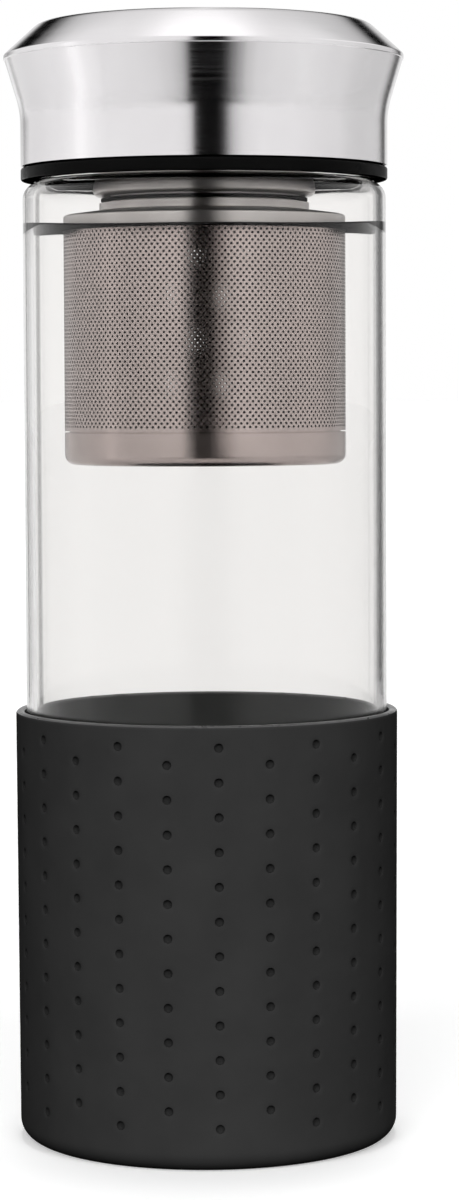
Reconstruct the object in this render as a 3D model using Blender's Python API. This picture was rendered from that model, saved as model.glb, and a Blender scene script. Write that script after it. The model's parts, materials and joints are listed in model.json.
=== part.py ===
"""Glass tea infuser bottle.

A turned glass body stands in a silicone sleeve. A steel lid screws onto its neck, and a
steel infuser basket screws into a collar under the lid. Lengths are in metres, +Z is up,
the common axis is Z, and the bottle stands on z = 0.
"""

import math

import bmesh
import bpy
from mathutils import Matrix, Vector

MM = 0.001

# Resolution of the round surfaces
SIDES = 48
CORNER_TURN = math.radians(32)
ARC_SPAN = 2.6 * MM
SHARP_ANGLE = math.radians(35)

# Fits shared by all pieces
SEAT_GAP = 0.3 * MM
THREAD_GAP = 0.3 * MM
THREAD_PLAY = 0.3 * MM
FLANK_ANGLE = math.radians(30)
FADE_ANGLE = math.radians(22.5)
THREAD_ROOT_SHARE = 0.4
MERGE_DISTANCE = 0.001 * MM

# Glass body
GLASS_RADIUS = 32.5 * MM
GLASS_HEIGHT = 169.6 * MM
GLASS_WALL = 1.75 * MM
GLASS_FLOOR = 3.6 * MM
GLASS_CORNER = 3.2 * MM
SHOULDER_CORNER = 1.8 * MM
SHOULDER_FILLET = 0.9 * MM
NECK_STEP = 2.6 * MM
NECK_HEIGHT = 12.4 * MM
NECK_WALL = 1.55 * MM
RIM_ROUND = 0.6 * MM

# Thread between the neck and the lid
LID_THREAD_DEPTH = 0.9 * MM
LID_THREAD_LEAD = 6.0 * MM
LID_THREAD_STARTS = 2
LID_THREAD_ARC = math.radians(135)
LID_THREAD_LEVEL = 4.6 * MM

# Silicone sleeve
SLEEVE_HEIGHT = 77.5 * MM
SLEEVE_WALL = 1.6 * MM
SLEEVE_FLOOR = 2.0 * MM
SLEEVE_TAPER = 0.3 * MM
SLEEVE_CORNER = 3.5 * MM
SLEEVE_LIP = 0.7 * MM
FOOT_WIDTH = 6.5 * MM
FOOT_RECESS = 0.6 * MM

# Steel shell of the lid
SHELL_SHEET = 0.5 * MM
SKIRT_HEIGHT = 19.7 * MM
EDGE_REACH = 2.9 * MM
EDGE_BAND = 1.1 * MM
EDGE_ROUND = 0.4 * MM
FLARE_HEIGHT = 8.8 * MM
FLARE_BEND = 16.0 * MM
BEVEL_REACH = 6.1 * MM
BEVEL_HEIGHT = 5.5 * MM
BEVEL_ROUND = 3.0 * MM
CROWN_HEIGHT = 1.0 * MM

# Plastic liner of the lid
LINER_WALL = 0.9 * MM
LINER_RIM = 2.2 * MM
LINER_CHAMFER = 0.4 * MM
LINER_PLATE = 1.5 * MM
SNAP_REACH = 0.8 * MM
SNAP_HEIGHT = 0.7 * MM
POST_RADIUS = 13.0 * MM
POST_WALL = 1.6 * MM

# Gasket on the glass rim
RIM_GASKET_SHEET = 1.6 * MM
RIM_GASKET_LAP = 0.4 * MM

# Steel collar under the lid
POUR_GAP = 8.45 * MM
SOCKET_WALL = 1.9 * MM
SOCKET_HEIGHT = 16.9 * MM
SOCKET_ROUND = 1.1 * MM
FLANGE_REACH = 2.6 * MM
FLANGE_SHEET = 1.3 * MM

# Thread between the collar and the infuser
INFUSER_THREAD_DEPTH = 0.8 * MM
INFUSER_THREAD_LEAD = 3.0 * MM
INFUSER_THREAD_ARC = math.radians(360)
INFUSER_THREAD_LEVEL = 4.3 * MM

# Infuser
TUBE_HEIGHT = 9.7 * MM
NECK_SHEET = 0.7 * MM
BEAD_INSET = 1.1 * MM
BEAD_HEIGHT = 1.3 * MM
SHOULDER_DROP = 0.9 * MM
SHOULDER_ROUND = 1.2 * MM
SHOULDER_RIM = 2.2 * MM
BASKET_PLAY = 3.1 * MM
BASKET_SHEET = 0.6 * MM
BASKET_HEIGHT = 42.1 * MM
JOGGLE_HEIGHT = 2.7 * MM
BAND_HEIGHT = 5.7 * MM
CUP_SHEET = 0.7 * MM
CUP_ROUND = 1.8 * MM
LIP_WIDTH = 3.75 * MM
BASE_SHEET = 0.6 * MM
BASE_INSET = 2.45 * MM

# Silicone rings on the infuser
INFUSER_GASKET_SHEET = 0.6 * MM
INFUSER_GASKET_INSET = 0.3 * MM
SEAL_SHEET = 0.7 * MM
SEAL_GAP = 0.35 * MM

# Radii worked out from the glass outwards
bore_radius = GLASS_RADIUS - GLASS_WALL
neck_radius = GLASS_RADIUS - NECK_STEP
mouth_radius = neck_radius - NECK_WALL
sleeve_bore = GLASS_RADIUS + SEAT_GAP
sleeve_radius = sleeve_bore + SLEEVE_WALL
liner_bore = neck_radius + LID_THREAD_DEPTH + THREAD_GAP
liner_radius = liner_bore + LINER_WALL
shell_bore = liner_radius + SEAT_GAP
skirt_radius = shell_bore + SHELL_SHEET
edge_radius = skirt_radius + EDGE_REACH
crown_radius = edge_radius - BEVEL_REACH

# Radii worked out from the collar and the mouth inwards
socket_radius = mouth_radius - POUR_GAP
socket_bore = socket_radius - SOCKET_WALL
tube_radius = socket_bore - THREAD_GAP - INFUSER_THREAD_DEPTH
bead_radius = socket_radius - BEAD_INSET
basket_radius = mouth_radius - BASKET_PLAY
basket_bore = basket_radius - BASKET_SHEET
joggle_radius = basket_bore - SEAT_GAP

# Levels from the ground up to the top of the lid
glass_foot = SLEEVE_FLOOR + SEAT_GAP
shoulder_level = glass_foot + GLASS_HEIGHT
rim_level = shoulder_level + NECK_HEIGHT
rim_gasket_foot = rim_level + SEAT_GAP
rim_gasket_top = rim_gasket_foot + RIM_GASKET_SHEET
plate_foot = rim_gasket_top + SEAT_GAP
plate_top = plate_foot + LINER_PLATE
liner_foot = shoulder_level + SEAT_GAP
liner_rim_top = liner_foot + LINER_RIM
skirt_foot = liner_rim_top + SEAT_GAP
edge_level = skirt_foot + SKIRT_HEIGHT
edge_foot = edge_level - EDGE_BAND
flare_foot = edge_foot - FLARE_HEIGHT
bevel_top = edge_level + BEVEL_HEIGHT

# Levels from the lid down to the bottom of the infuser
socket_top = plate_foot - SEAT_GAP
socket_foot = socket_top - SOCKET_HEIGHT
infuser_gasket_top = socket_foot - SEAT_GAP
infuser_gasket_foot = infuser_gasket_top - INFUSER_GASKET_SHEET
bead_top = infuser_gasket_foot - SEAT_GAP
bead_foot = bead_top - BEAD_HEIGHT
basket_shoulder = bead_foot - SHOULDER_DROP
basket_rim = basket_shoulder - SHOULDER_RIM
wall_top = basket_rim - SEAT_GAP
basket_foot = basket_rim - BASKET_HEIGHT
band_top = basket_foot + BAND_HEIGHT
wall_foot = band_top + SEAT_GAP


def clear_scene():
    """Remove every object that the scene starts with."""
    for old in list(bpy.data.objects):
        bpy.data.objects.remove(old)


def make_material(name, colour, roughness, metallic=0.0, transmission=0.0):
    """Return a Principled material."""
    material = bpy.data.materials.new(name)
    material.use_nodes = True
    shader = material.node_tree.nodes["Principled BSDF"]
    shader.inputs["Base Color"].default_value = (*colour, 1.0)
    shader.inputs["Roughness"].default_value = roughness
    shader.inputs["Metallic"].default_value = metallic
    shader.inputs["Transmission Weight"].default_value = transmission
    return material


def rounded(corners):
    """Return an outline's points, with an arc at each corner that names a radius."""
    points = []
    for index, corner in enumerate(corners):
        here = Vector(corner[:2])
        if len(corner) == 2:
            points.append(here)
            continue
        radius = corner[2]
        back = (Vector(corners[index - 1][:2]) - here).normalized()
        ahead = (Vector(corners[(index + 1) % len(corners)][:2]) - here).normalized()
        opening = back.angle(ahead)
        centre = here + (back + ahead).normalized() * radius / math.sin(opening / 2)
        arm = here + back * radius / math.tan(opening / 2) - centre
        turn = math.pi - opening
        if back.x * ahead.y - back.y * ahead.x > 0:
            turn = -turn
        steps = math.ceil(abs(turn) * max(1 / CORNER_TURN, radius / ARC_SPAN))
        for step in range(steps + 1):
            points.append(centre + Matrix.Rotation(turn * step / steps, 2) @ arm)
    return points


def sheet(points, thickness):
    """Return the closed outline of a sheet whose outer side runs down through points."""
    inner = []
    for index, here in enumerate(points):
        normals = []
        for start, end in ((index - 1, index), (index, index + 1)):
            if start >= 0 and end < len(points):
                along = (points[end] - points[start]).normalized()
                normals.append(Vector((along.y, -along.x)))
        blend = normals[0] + normals[-1]
        offset = blend * thickness / (1 + normals[0].dot(normals[-1]))
        if here.x == 0:
            offset = Vector((0, -thickness))
        inner.append(here + offset)
    return list(points) + inner[::-1]


def arc_height(radius, chord, rise):
    """Return how high a shallow crown of one chord and rise stands at a radius."""
    sphere = (chord * chord + rise * rise) / (2 * rise)
    return math.sqrt(sphere * sphere - radius * radius) - sphere + rise


def finish_mesh(name, shape, material):
    """Turn a bmesh into an object with smooth round surfaces and outward faces."""
    bmesh.ops.remove_doubles(shape, verts=shape.verts, dist=MERGE_DISTANCE)
    bmesh.ops.recalc_face_normals(shape, faces=shape.faces)
    mesh = bpy.data.meshes.new(name)
    shape.to_mesh(mesh)
    shape.free()
    mesh.materials.append(material)
    mesh.shade_smooth()
    mesh.set_sharp_from_angle(angle=SHARP_ANGLE)
    piece = bpy.data.objects.new(name, mesh)
    bpy.context.scene.collection.objects.link(piece)
    return piece


def turned(name, outline, material):
    """Return a solid of revolution whose outline is a list of (radius, height) points."""
    shape = bmesh.new()
    ring = [shape.verts.new((point.x, 0, point.y)) for point in outline]
    edges = [shape.edges.new(pair) for pair in zip(ring, ring[1:])]
    reaches_axis = outline[0].x == 0 and outline[-1].x == 0
    if not reaches_axis:
        edges.append(shape.edges.new((ring[-1], ring[0])))
    bmesh.ops.spin(
        shape,
        geom=ring + edges,
        cent=(0, 0, 0),
        axis=(0, 0, 1),
        angle=math.tau,
        steps=SIDES,
        use_merge=True,
    )
    return finish_mesh(name, shape, material)


def add_thread(piece, radius, wall, side, depth, lead, starts, arc, level, first_angle=0):
    """Join helical ridges to a wall: side is 1 on its outside and -1 in its bore."""
    embed = wall * THREAD_ROOT_SHARE
    middle = (lead / starts / 2 - THREAD_PLAY) / 2
    slope = math.tan(FLANK_ANGLE)
    middle_depth = (depth + THREAD_GAP) / 2
    root_half = middle + slope * (middle_depth + embed)
    crest_half = middle - slope * (depth - middle_depth)
    steps = round(arc / math.tau * SIDES)
    shape = bmesh.new()
    for start in range(starts):
        sections = []
        for step in range(steps + 1):
            turn = arc * step / steps
            angle = first_angle + math.tau * start / starts + turn
            height = level + lead * turn / math.tau
            fade = min(turn, arc - turn, FADE_ANGLE) / FADE_ANGLE
            crest = radius + side * (depth * fade - embed / 2 * (1 - fade))
            root = radius - side * embed
            direction = Vector((math.cos(angle), math.sin(angle), 0))
            section = []
            for reach, lift in (
                (root, -root_half),
                (crest, -crest_half),
                (crest, crest_half),
                (root, root_half),
            ):
                place = direction * reach
                place.z = height + lift
                section.append(shape.verts.new(place))
            sections.append(section)
        for lower, upper in zip(sections, sections[1:]):
            for corner in range(len(lower)):
                shape.faces.new(
                    (lower[corner - 1], lower[corner], upper[corner], upper[corner - 1])
                )
        shape.faces.new(sections[0])
        shape.faces.new(sections[-1])
    ridge = finish_mesh(piece.name + "_ridge_guide", shape, piece.data.materials[0])
    ridge.hide_render = True
    ridge.display_type = "WIRE"
    join = piece.modifiers.new("thread", "BOOLEAN")
    join.operation = "UNION"
    join.object = ridge
    return ridge


def make_glass_body(material):
    """Return the glass: a straight body, a rounded shoulder and a threaded neck."""
    floor_top = glass_foot + GLASS_FLOOR
    inner_corner = GLASS_CORNER - GLASS_WALL
    shoulder_under = shoulder_level - GLASS_WALL
    outline = rounded([
        (0, glass_foot),
        (GLASS_RADIUS, glass_foot, GLASS_CORNER),
        (GLASS_RADIUS, shoulder_level, SHOULDER_CORNER),
        (neck_radius, shoulder_level),
        (neck_radius, rim_level, RIM_ROUND),
        (mouth_radius, rim_level, RIM_ROUND),
        (mouth_radius, shoulder_under),
        (bore_radius, shoulder_under, SHOULDER_FILLET),
        (bore_radius, floor_top, inner_corner),
        (0, floor_top),
    ])
    glass = turned("glass_body", outline, material)
    add_thread(
        glass,
        radius=neck_radius,
        wall=NECK_WALL,
        side=1,
        depth=LID_THREAD_DEPTH,
        lead=LID_THREAD_LEAD,
        starts=LID_THREAD_STARTS,
        arc=LID_THREAD_ARC,
        level=shoulder_level + LID_THREAD_LEVEL,
    )
    return glass


def make_grip_sleeve(material):
    """Return the silicone boot that the glass stands in."""
    foot_radius = sleeve_radius - SLEEVE_TAPER
    foot_outer = foot_radius - SLEEVE_CORNER
    foot_inner = foot_outer - FOOT_WIDTH
    outline = rounded([
        (0, FOOT_RECESS),
        (foot_inner, FOOT_RECESS),
        (foot_inner, 0),
        (foot_radius, 0, SLEEVE_CORNER),
        (sleeve_radius, SLEEVE_HEIGHT, SLEEVE_LIP),
        (sleeve_bore, SLEEVE_HEIGHT, SLEEVE_LIP),
        (sleeve_bore, SLEEVE_FLOOR, GLASS_CORNER),
        (0, SLEEVE_FLOOR),
    ])
    return turned("grip_sleeve", outline, material)


def make_cap_shell(material):
    """Return the pressed steel shell of the lid, flared to an upright edge under its top."""
    crown_steps = 3
    crown = []
    for step in range(1, crown_steps + 1):
        radius = crown_radius * (1 - step / crown_steps)
        rise = arc_height(radius, crown_radius, CROWN_HEIGHT)
        crown.append((radius, bevel_top + rise))
    outer = rounded([
        (skirt_radius, skirt_foot),
        (skirt_radius, flare_foot, FLARE_BEND),
        (edge_radius, edge_foot, EDGE_ROUND),
        (edge_radius, edge_level, EDGE_ROUND),
        (crown_radius, bevel_top, BEVEL_ROUND),
        *crown,
    ])
    outer.reverse()
    outer[0].x = 0
    return turned("cap_shell", sheet(outer, SHELL_SHEET), material)


def make_cap_liner(material):
    """Return the plastic liner: thread skirt, sealing plate and the post under the crown."""
    post_top = bevel_top - SHELL_SHEET - SEAT_GAP + arc_height(
        POST_RADIUS, crown_radius, CROWN_HEIGHT
    )
    post_bore = POST_RADIUS - POST_WALL
    snap_radius = liner_radius + SNAP_REACH
    outline = rounded([
        (0, plate_foot),
        (liner_bore, plate_foot),
        (liner_bore, liner_foot),
        (skirt_radius, liner_foot, LINER_CHAMFER),
        (skirt_radius, liner_rim_top),
        (liner_radius, liner_rim_top),
        (liner_radius, plate_top - SNAP_HEIGHT - SNAP_REACH),
        (snap_radius, plate_top - SNAP_HEIGHT),
        (snap_radius, plate_top),
        (POST_RADIUS, plate_top),
        (POST_RADIUS, post_top),
        (post_bore, post_top),
        (post_bore, plate_top),
        (0, plate_top),
    ])
    liner = turned("cap_liner", outline, material)
    add_thread(
        liner,
        radius=liner_bore,
        wall=LINER_WALL,
        side=-1,
        depth=LID_THREAD_DEPTH,
        lead=LID_THREAD_LEAD,
        starts=LID_THREAD_STARTS,
        arc=LID_THREAD_ARC,
        level=shoulder_level + LID_THREAD_LEVEL - LID_THREAD_LEAD / LID_THREAD_STARTS / 2,
    )
    return liner


def make_rim_gasket(material):
    """Return the flat silicone ring between the glass rim and the lid's plate."""
    inner = mouth_radius - RIM_GASKET_LAP
    outer = liner_bore - SEAT_GAP
    outline = rounded([
        (inner, rim_gasket_foot),
        (outer, rim_gasket_foot),
        (outer, rim_gasket_top),
        (inner, rim_gasket_top),
    ])
    return turned("rim_gasket", outline, material)


def make_socket_ring(material):
    """Return the steel collar under the lid, threaded inside for the infuser."""
    flange_radius = socket_radius + FLANGE_REACH
    outline = rounded([
        (socket_bore, socket_foot),
        (socket_radius, socket_foot, SOCKET_ROUND),
        (socket_radius, socket_top - FLANGE_SHEET),
        (flange_radius, socket_top - FLANGE_SHEET),
        (flange_radius, socket_top),
        (socket_bore, socket_top),
    ])
    ring = turned("socket_ring", outline, material)
    add_thread(
        ring,
        radius=socket_bore,
        wall=SOCKET_WALL,
        side=-1,
        depth=INFUSER_THREAD_DEPTH,
        lead=INFUSER_THREAD_LEAD,
        starts=1,
        arc=INFUSER_THREAD_ARC,
        level=bead_top + INFUSER_THREAD_LEVEL - INFUSER_THREAD_LEAD / 2,
        first_angle=math.pi,
    )
    return ring


def make_infuser_gasket(material):
    """Return the thin ring in the groove between the collar and the infuser's bead."""
    inner = tube_radius + SEAT_GAP
    outer = bead_radius - INFUSER_GASKET_INSET
    outline = rounded([
        (inner, infuser_gasket_foot),
        (outer, infuser_gasket_foot),
        (outer, infuser_gasket_top),
        (inner, infuser_gasket_top),
    ])
    return turned("infuser_gasket", outline, material)


def make_infuser_neck(material):
    """Return the pressed top of the infuser: threaded tube, bead and shoulder."""
    tube_top = bead_top + TUBE_HEIGHT
    outer = rounded([
        (tube_radius, tube_top),
        (tube_radius, bead_top),
        (bead_radius, bead_top),
        (bead_radius, bead_foot),
        (basket_radius, basket_shoulder, SHOULDER_ROUND),
        (basket_radius, basket_rim),
        (joggle_radius, basket_rim),
        (joggle_radius, basket_rim - JOGGLE_HEIGHT),
    ])
    neck = turned("infuser_neck", sheet(outer, NECK_SHEET), material)
    add_thread(
        neck,
        radius=tube_radius,
        wall=NECK_SHEET,
        side=1,
        depth=INFUSER_THREAD_DEPTH,
        lead=INFUSER_THREAD_LEAD,
        starts=1,
        arc=INFUSER_THREAD_ARC,
        level=bead_top + INFUSER_THREAD_LEVEL,
        first_angle=math.pi,
    )
    return neck


def make_infuser_seal(material):
    """Return the wide silicone ring that centres the infuser in the glass."""
    inner = basket_radius + SEAT_GAP
    outer = bore_radius - SEAL_GAP
    outline = rounded([
        (inner, wall_top - SEAL_SHEET),
        (outer, wall_top - SEAL_SHEET),
        (outer, wall_top),
        (inner, wall_top),
    ])
    return turned("infuser_seal", outline, material)


def make_infuser_wall(material):
    """Return the basket's wall, the tube that the perforated sheet is rolled into."""
    outline = rounded([
        (basket_bore, wall_foot),
        (basket_radius, wall_foot),
        (basket_radius, wall_top),
        (basket_bore, wall_top),
    ])
    return turned("infuser_wall", outline, material)


def make_infuser_base_cup(material):
    """Return the plain band that closes the basket's foot, with a lip turned inwards."""
    outer = rounded([
        (joggle_radius, band_top + JOGGLE_HEIGHT),
        (joggle_radius, band_top),
        (basket_radius, band_top),
        (basket_radius, basket_foot, CUP_ROUND),
        (basket_radius - LIP_WIDTH, basket_foot),
    ])
    return turned("infuser_base_cup", sheet(outer, CUP_SHEET), material)


def make_infuser_base_plate(material):
    """Return the perforated disc that lies on the lip of the basket's foot."""
    foot = basket_foot + CUP_SHEET + SEAT_GAP
    radius = basket_radius - BASE_INSET
    outline = rounded([
        (0, foot),
        (radius, foot),
        (radius, foot + BASE_SHEET),
        (0, foot + BASE_SHEET),
    ])
    return turned("infuser_base_plate", outline, material)


def carry(name, level, pieces):
    """Parent pieces to an empty on the common axis, without moving them."""
    pivot = bpy.data.objects.new(name, None)
    pivot.location = (0, 0, level)
    bpy.context.scene.collection.objects.link(pivot)
    for piece in pieces:
        piece.parent = pivot
        piece.location = (0, 0, -level)
    return pivot


def main():
    """Build the bottle."""
    clear_scene()
    steel = make_material("brushed_steel", (0.66, 0.65, 0.65), 0.28, metallic=1.0)
    mesh_steel = make_material("basket_steel", (0.5, 0.47, 0.46), 0.35, metallic=1.0)
    plastic = make_material("black_plastic", (0.012, 0.012, 0.012), 0.35)
    rubber = make_material("black_silicone", (0.015, 0.014, 0.014), 0.5)
    silicone = make_material("sleeve_silicone", (0.032, 0.032, 0.032), 0.7)
    glass = make_material("clear_glass", (0.96, 0.98, 0.98), 0.02, transmission=1.0)

    make_glass_body(glass)
    sleeve = make_grip_sleeve(silicone)
    rim_gasket = make_rim_gasket(rubber)
    lid = [make_cap_shell(steel), make_cap_liner(plastic), make_socket_ring(steel)]
    infuser_gasket = make_infuser_gasket(rubber)
    infuser = [
        make_infuser_neck(steel),
        make_infuser_seal(rubber),
        make_infuser_wall(mesh_steel),
        make_infuser_base_cup(steel),
        make_infuser_base_plate(mesh_steel),
    ]
    carry("sleeve_slide", 0, [sleeve])
    carry("lid_screw", rim_level, [rim_gasket, *lid])
    carry("infuser_screw", socket_foot, [infuser_gasket, *infuser])


main()
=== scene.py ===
import json
import math

import bmesh
import bpy
import numpy as np
from mathutils import Matrix, Vector

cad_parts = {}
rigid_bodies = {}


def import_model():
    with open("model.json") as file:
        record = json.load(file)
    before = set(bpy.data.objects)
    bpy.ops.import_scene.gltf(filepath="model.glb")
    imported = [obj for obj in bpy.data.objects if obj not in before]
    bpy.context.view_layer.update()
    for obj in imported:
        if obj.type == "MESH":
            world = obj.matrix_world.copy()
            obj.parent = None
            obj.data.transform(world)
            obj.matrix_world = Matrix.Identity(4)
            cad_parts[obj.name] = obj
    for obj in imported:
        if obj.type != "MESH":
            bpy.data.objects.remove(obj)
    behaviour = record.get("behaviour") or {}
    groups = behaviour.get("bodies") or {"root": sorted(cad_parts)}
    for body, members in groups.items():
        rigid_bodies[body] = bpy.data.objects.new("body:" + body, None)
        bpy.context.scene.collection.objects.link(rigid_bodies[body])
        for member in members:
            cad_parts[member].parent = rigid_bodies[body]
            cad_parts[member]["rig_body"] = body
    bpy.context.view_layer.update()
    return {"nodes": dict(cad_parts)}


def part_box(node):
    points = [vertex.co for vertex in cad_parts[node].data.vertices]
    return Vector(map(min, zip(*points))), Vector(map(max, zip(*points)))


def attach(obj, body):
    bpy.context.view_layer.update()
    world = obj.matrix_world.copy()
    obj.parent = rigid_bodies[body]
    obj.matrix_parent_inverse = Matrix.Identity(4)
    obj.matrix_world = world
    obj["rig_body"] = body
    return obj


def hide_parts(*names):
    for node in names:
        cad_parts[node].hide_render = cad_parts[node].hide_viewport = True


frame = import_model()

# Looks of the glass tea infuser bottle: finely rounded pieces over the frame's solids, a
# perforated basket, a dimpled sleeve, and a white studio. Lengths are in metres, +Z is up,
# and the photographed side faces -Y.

MM = 0.001

# Resolution of the round surfaces
SIDES = 192
ARC_TURN = math.radians(12)
ARC_SPAN = 0.6 * MM
THREAD_STEP = 0.14 * MM
SHARP_ANGLE = math.radians(38)
TOUCH = 0.001 * MM

# Fits shared by the solids
SEAT_GAP = 0.3 * MM
THREAD_GAP = 0.3 * MM
THREAD_PLAY = 0.3 * MM
FLANK_ANGLE = math.radians(30)
FADE_ANGLE = math.radians(22.5)

# Glass body
GLASS_WALL = 1.75 * MM
GLASS_FLOOR = 3.6 * MM
GLASS_CORNER = 3.2 * MM
SHOULDER_CORNER = 3.0 * MM
SHOULDER_FILLET = 2.0 * MM
SHOULDER_WALL = 1.0 * MM
NECK_STEP = 2.6 * MM
NECK_HEIGHT = 12.4 * MM
NECK_WALL = 1.55 * MM
NECK_FILLET = 0.5 * MM
RIM_ROUND = 0.6 * MM

# Thread between the neck and the lid
LID_THREAD_DEPTH = 0.9 * MM
LID_THREAD_LEAD = 6.0 * MM
LID_THREAD_STARTS = 2
LID_THREAD_ARC = math.radians(135)
LID_THREAD_LEVEL = 4.6 * MM

# Silicone sleeve
SLEEVE_FLOOR = 2.0 * MM
SLEEVE_TAPER = 0.3 * MM
SLEEVE_CORNER = 3.5 * MM
SLEEVE_LIP = 0.7 * MM
FOOT_WIDTH = 6.5 * MM
FOOT_RECESS = 0.6 * MM

# Dimples of the sleeve
DIMPLE_COLUMNS = 24
DIMPLE_ROWS = 12
DIMPLE_PITCH = 6.0 * MM
DIMPLE_TOP = 3.75 * MM
DIMPLE_TURN = math.radians(3.7)
DIMPLE_RADIUS = 0.8 * MM
DIMPLE_DEPTH = 0.65 * MM
DIMPLE_RADIUS_SHARES = (2.2, 1.25, 1.0, 0.86, 0.66, 0.36)
DIMPLE_DEPTH_SHARES = (0.0, 0.0, 0.1, 0.6, 0.9, 1.0)
# Faces sunk deeper than this share of the dimple depth take the painted pit shade
SHADED_PIT_SHARE = 0.25

# Steel shell of the lid
SHELL_SHEET = 0.5 * MM
SKIRT_HEIGHT = 19.7 * MM
EDGE_REACH = 2.9 * MM
EDGE_BAND = 1.1 * MM
EDGE_ROUND = 0.4 * MM
EDGE_FACE = 0.8 * MM
EDGE_LEDGE = 0.2 * MM
LEDGE_ROUND = 0.12 * MM
FLARE_HEIGHT = 8.8 * MM
FLARE_BEND = 16.0 * MM
BEVEL_REACH = 6.1 * MM
BEVEL_HEIGHT = 5.5 * MM
BEVEL_ROUND = 3.0 * MM
CROWN_HEIGHT = 1.0 * MM
CROWN_STEPS = 24

# Plastic liner of the lid
LINER_WALL = 0.9 * MM
LINER_RIM = 2.2 * MM
LINER_CHAMFER = 0.4 * MM
LINER_PLATE = 1.5 * MM
SNAP_REACH = 0.8 * MM
SNAP_HEIGHT = 0.7 * MM
POST_RADIUS = 13.0 * MM
POST_WALL = 1.6 * MM

# Steel collar under the lid
SOCKET_WALL = 1.9 * MM
SOCKET_ROUND = 1.1 * MM
FLANGE_REACH = 2.6 * MM
FLANGE_SHEET = 1.3 * MM

# Thread between the collar and the infuser
INFUSER_THREAD_DEPTH = 0.8 * MM
INFUSER_THREAD_LEAD = 3.0 * MM
INFUSER_THREAD_ARC = math.radians(360)
INFUSER_THREAD_LEVEL = 4.3 * MM

# Infuser
NECK_SHEET = 0.7 * MM
TUBE_HEIGHT = 9.7 * MM
BEAD_INSET = 1.1 * MM
BEAD_HEIGHT = 1.3 * MM
SHOULDER_DROP = 0.9 * MM
SHOULDER_ROUND = 0.5 * MM
SHOULDER_RIM = 2.2 * MM
JOGGLE_HEIGHT = 2.7 * MM
BASKET_SHEET = 0.6 * MM
BAND_HEIGHT = 5.7 * MM
CUP_SHEET = 0.7 * MM
CUP_ROUND = 1.8 * MM
LIP_WIDTH = 3.75 * MM

# Gaskets
RIM_GASKET_LAP = 0.4 * MM
RIM_GASKET_EDGE = 0.3 * MM
COLLAR_GASKET_BORE = 17.2 * MM
COLLAR_GASKET_EDGE = 0.15 * MM

# Soft seal: how far it presses out beyond its solid, the thickness of its lip, and how far
# the lip bends up and thickens downwards at its two sides
SEAL_SPREAD = 0.38 * MM
SEAL_EDGE = 0.1 * MM
SEAL_LIP = 0.32 * MM
SEAL_LIFT = 1.25 * MM
SEAL_TAB = 1.7 * MM
SEAL_TAB_SHARE = 0.18

# Holes of the basket
HOLE_COLUMNS = 150
HOLE_PITCH = 0.632 * MM
HOLE_RADIUS = 0.25 * MM
HOLE_TAPER = 0.6
HOLE_SIDES = 6
HOLE_MARGIN = 0.3 * MM
PLATE_PITCH = 0.9 * MM
PLATE_HOLE_RADIUS = 0.26 * MM
PLATE_MARGIN = 0.9 * MM

# Grain of the surfaces: noise scales per metre and heights
NOISE_LOW = 0.3
NOISE_HIGH = 0.7
STAIN_SCALE = 60
TURNING_SCALE = 9000
STREAK_SCALE = 2500
TURNING_BUMP = 0.12
TURNING_HEIGHT = 0.004 * MM
PATCH_SCALE = 90
SHEEN_SCALE = 300
GRAIN_HEIGHT = 0.02 * MM

# Steels: name, slot, dark and light colour, low and high roughness, anisotropy
STEELS = (
    ("lid_steel", "brushed_steel", (0.755, 0.735, 0.748), (0.80, 0.785, 0.795), 0.1, 0.17, 0.5),
    # The pressed steel is a darker copy of the lid's brushed steel: its colour is painted shade for the
    # pieces that sit under the lid
    ("pressed_steel_painted_shade", "brushed_steel", (0.49, 0.46, 0.45), (0.55, 0.53, 0.515), 0.28, 0.36, 0.8),
    ("basket_steel", "basket_steel", (0.385, 0.33, 0.313), (0.435, 0.37, 0.353), 0.2, 0.28, 0.6),
    # The inner steel is the basket sheet's own steel at about 0.4 of its colour: painted shade that
    # darkens the inside and the holes
    ("inner_steel_painted_shade", "basket_steel", (0.14, 0.12, 0.113), (0.18, 0.155, 0.145), 0.35, 0.45, 0),
)

# Plastics and silicones: name, slot, dark and light colour, low and high roughness,
# specular level, and the scale and bump of the grain
MOULDINGS = (
    ("matte_plastic", "black_plastic", (0.004,) * 3, (0.006,) * 3, 0.3, 0.4, 0, 6000, 0.05),
    ("rim_plastic", "black_plastic", (0.003,) * 3, (0.005,) * 3, 0.25, 0.35, 0.02, 6000, 0.05),
    (
        "seal_silicone", "black_silicone", (0.010, 0.009, 0.009), (0.014, 0.013, 0.013),
        0.5, 0.6, 0, 6000, 0.1,
    ),
    ("sleeve_silicone", "sleeve_silicone", (0.036,) * 3, (0.043,) * 3, 0.7, 0.85, 0, 5000, 0.2),
    # The lip silicone is glossier, which is real, and lighter, which is a painted highlight along the
    # lip
    ("lip_silicone_painted_highlight", "sleeve_silicone", (0.040,) * 3, (0.055,) * 3, 0.25, 0.35, 0.6, 5000, 0.1),
    # The pit silicone is the sleeve's silicone at about 0.6 of its colour: painted shade in the dimples'
    # pits
    ("pit_silicone_painted_shade", "sleeve_silicone", (0.021,) * 3, (0.025,) * 3, 0.7, 0.85, 0, 5000, 0.2),
)

# Glass
GLASS_COLOUR = (0.95, 0.942, 0.934, 1)
GLASS_MIRROR_TINT = (0.3, 0.3, 0.3, 1)
GLASS_SHADOW_COLOUR = (0.93, 0.94, 0.935, 1)
GLASS_IOR = 1.47

# Surround and floor
WORLD_LIGHT = 0.1
FLOOR_REACH = 30.0
FLOOR_LIT = (0.02, 0.02, 0.02)
FLOOR_SEEN = (0.8, 0.8, 0.8)
FLOOR_GLOW = 0.37
MIRRORED_GLOW_CHANGE = -0.2

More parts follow.
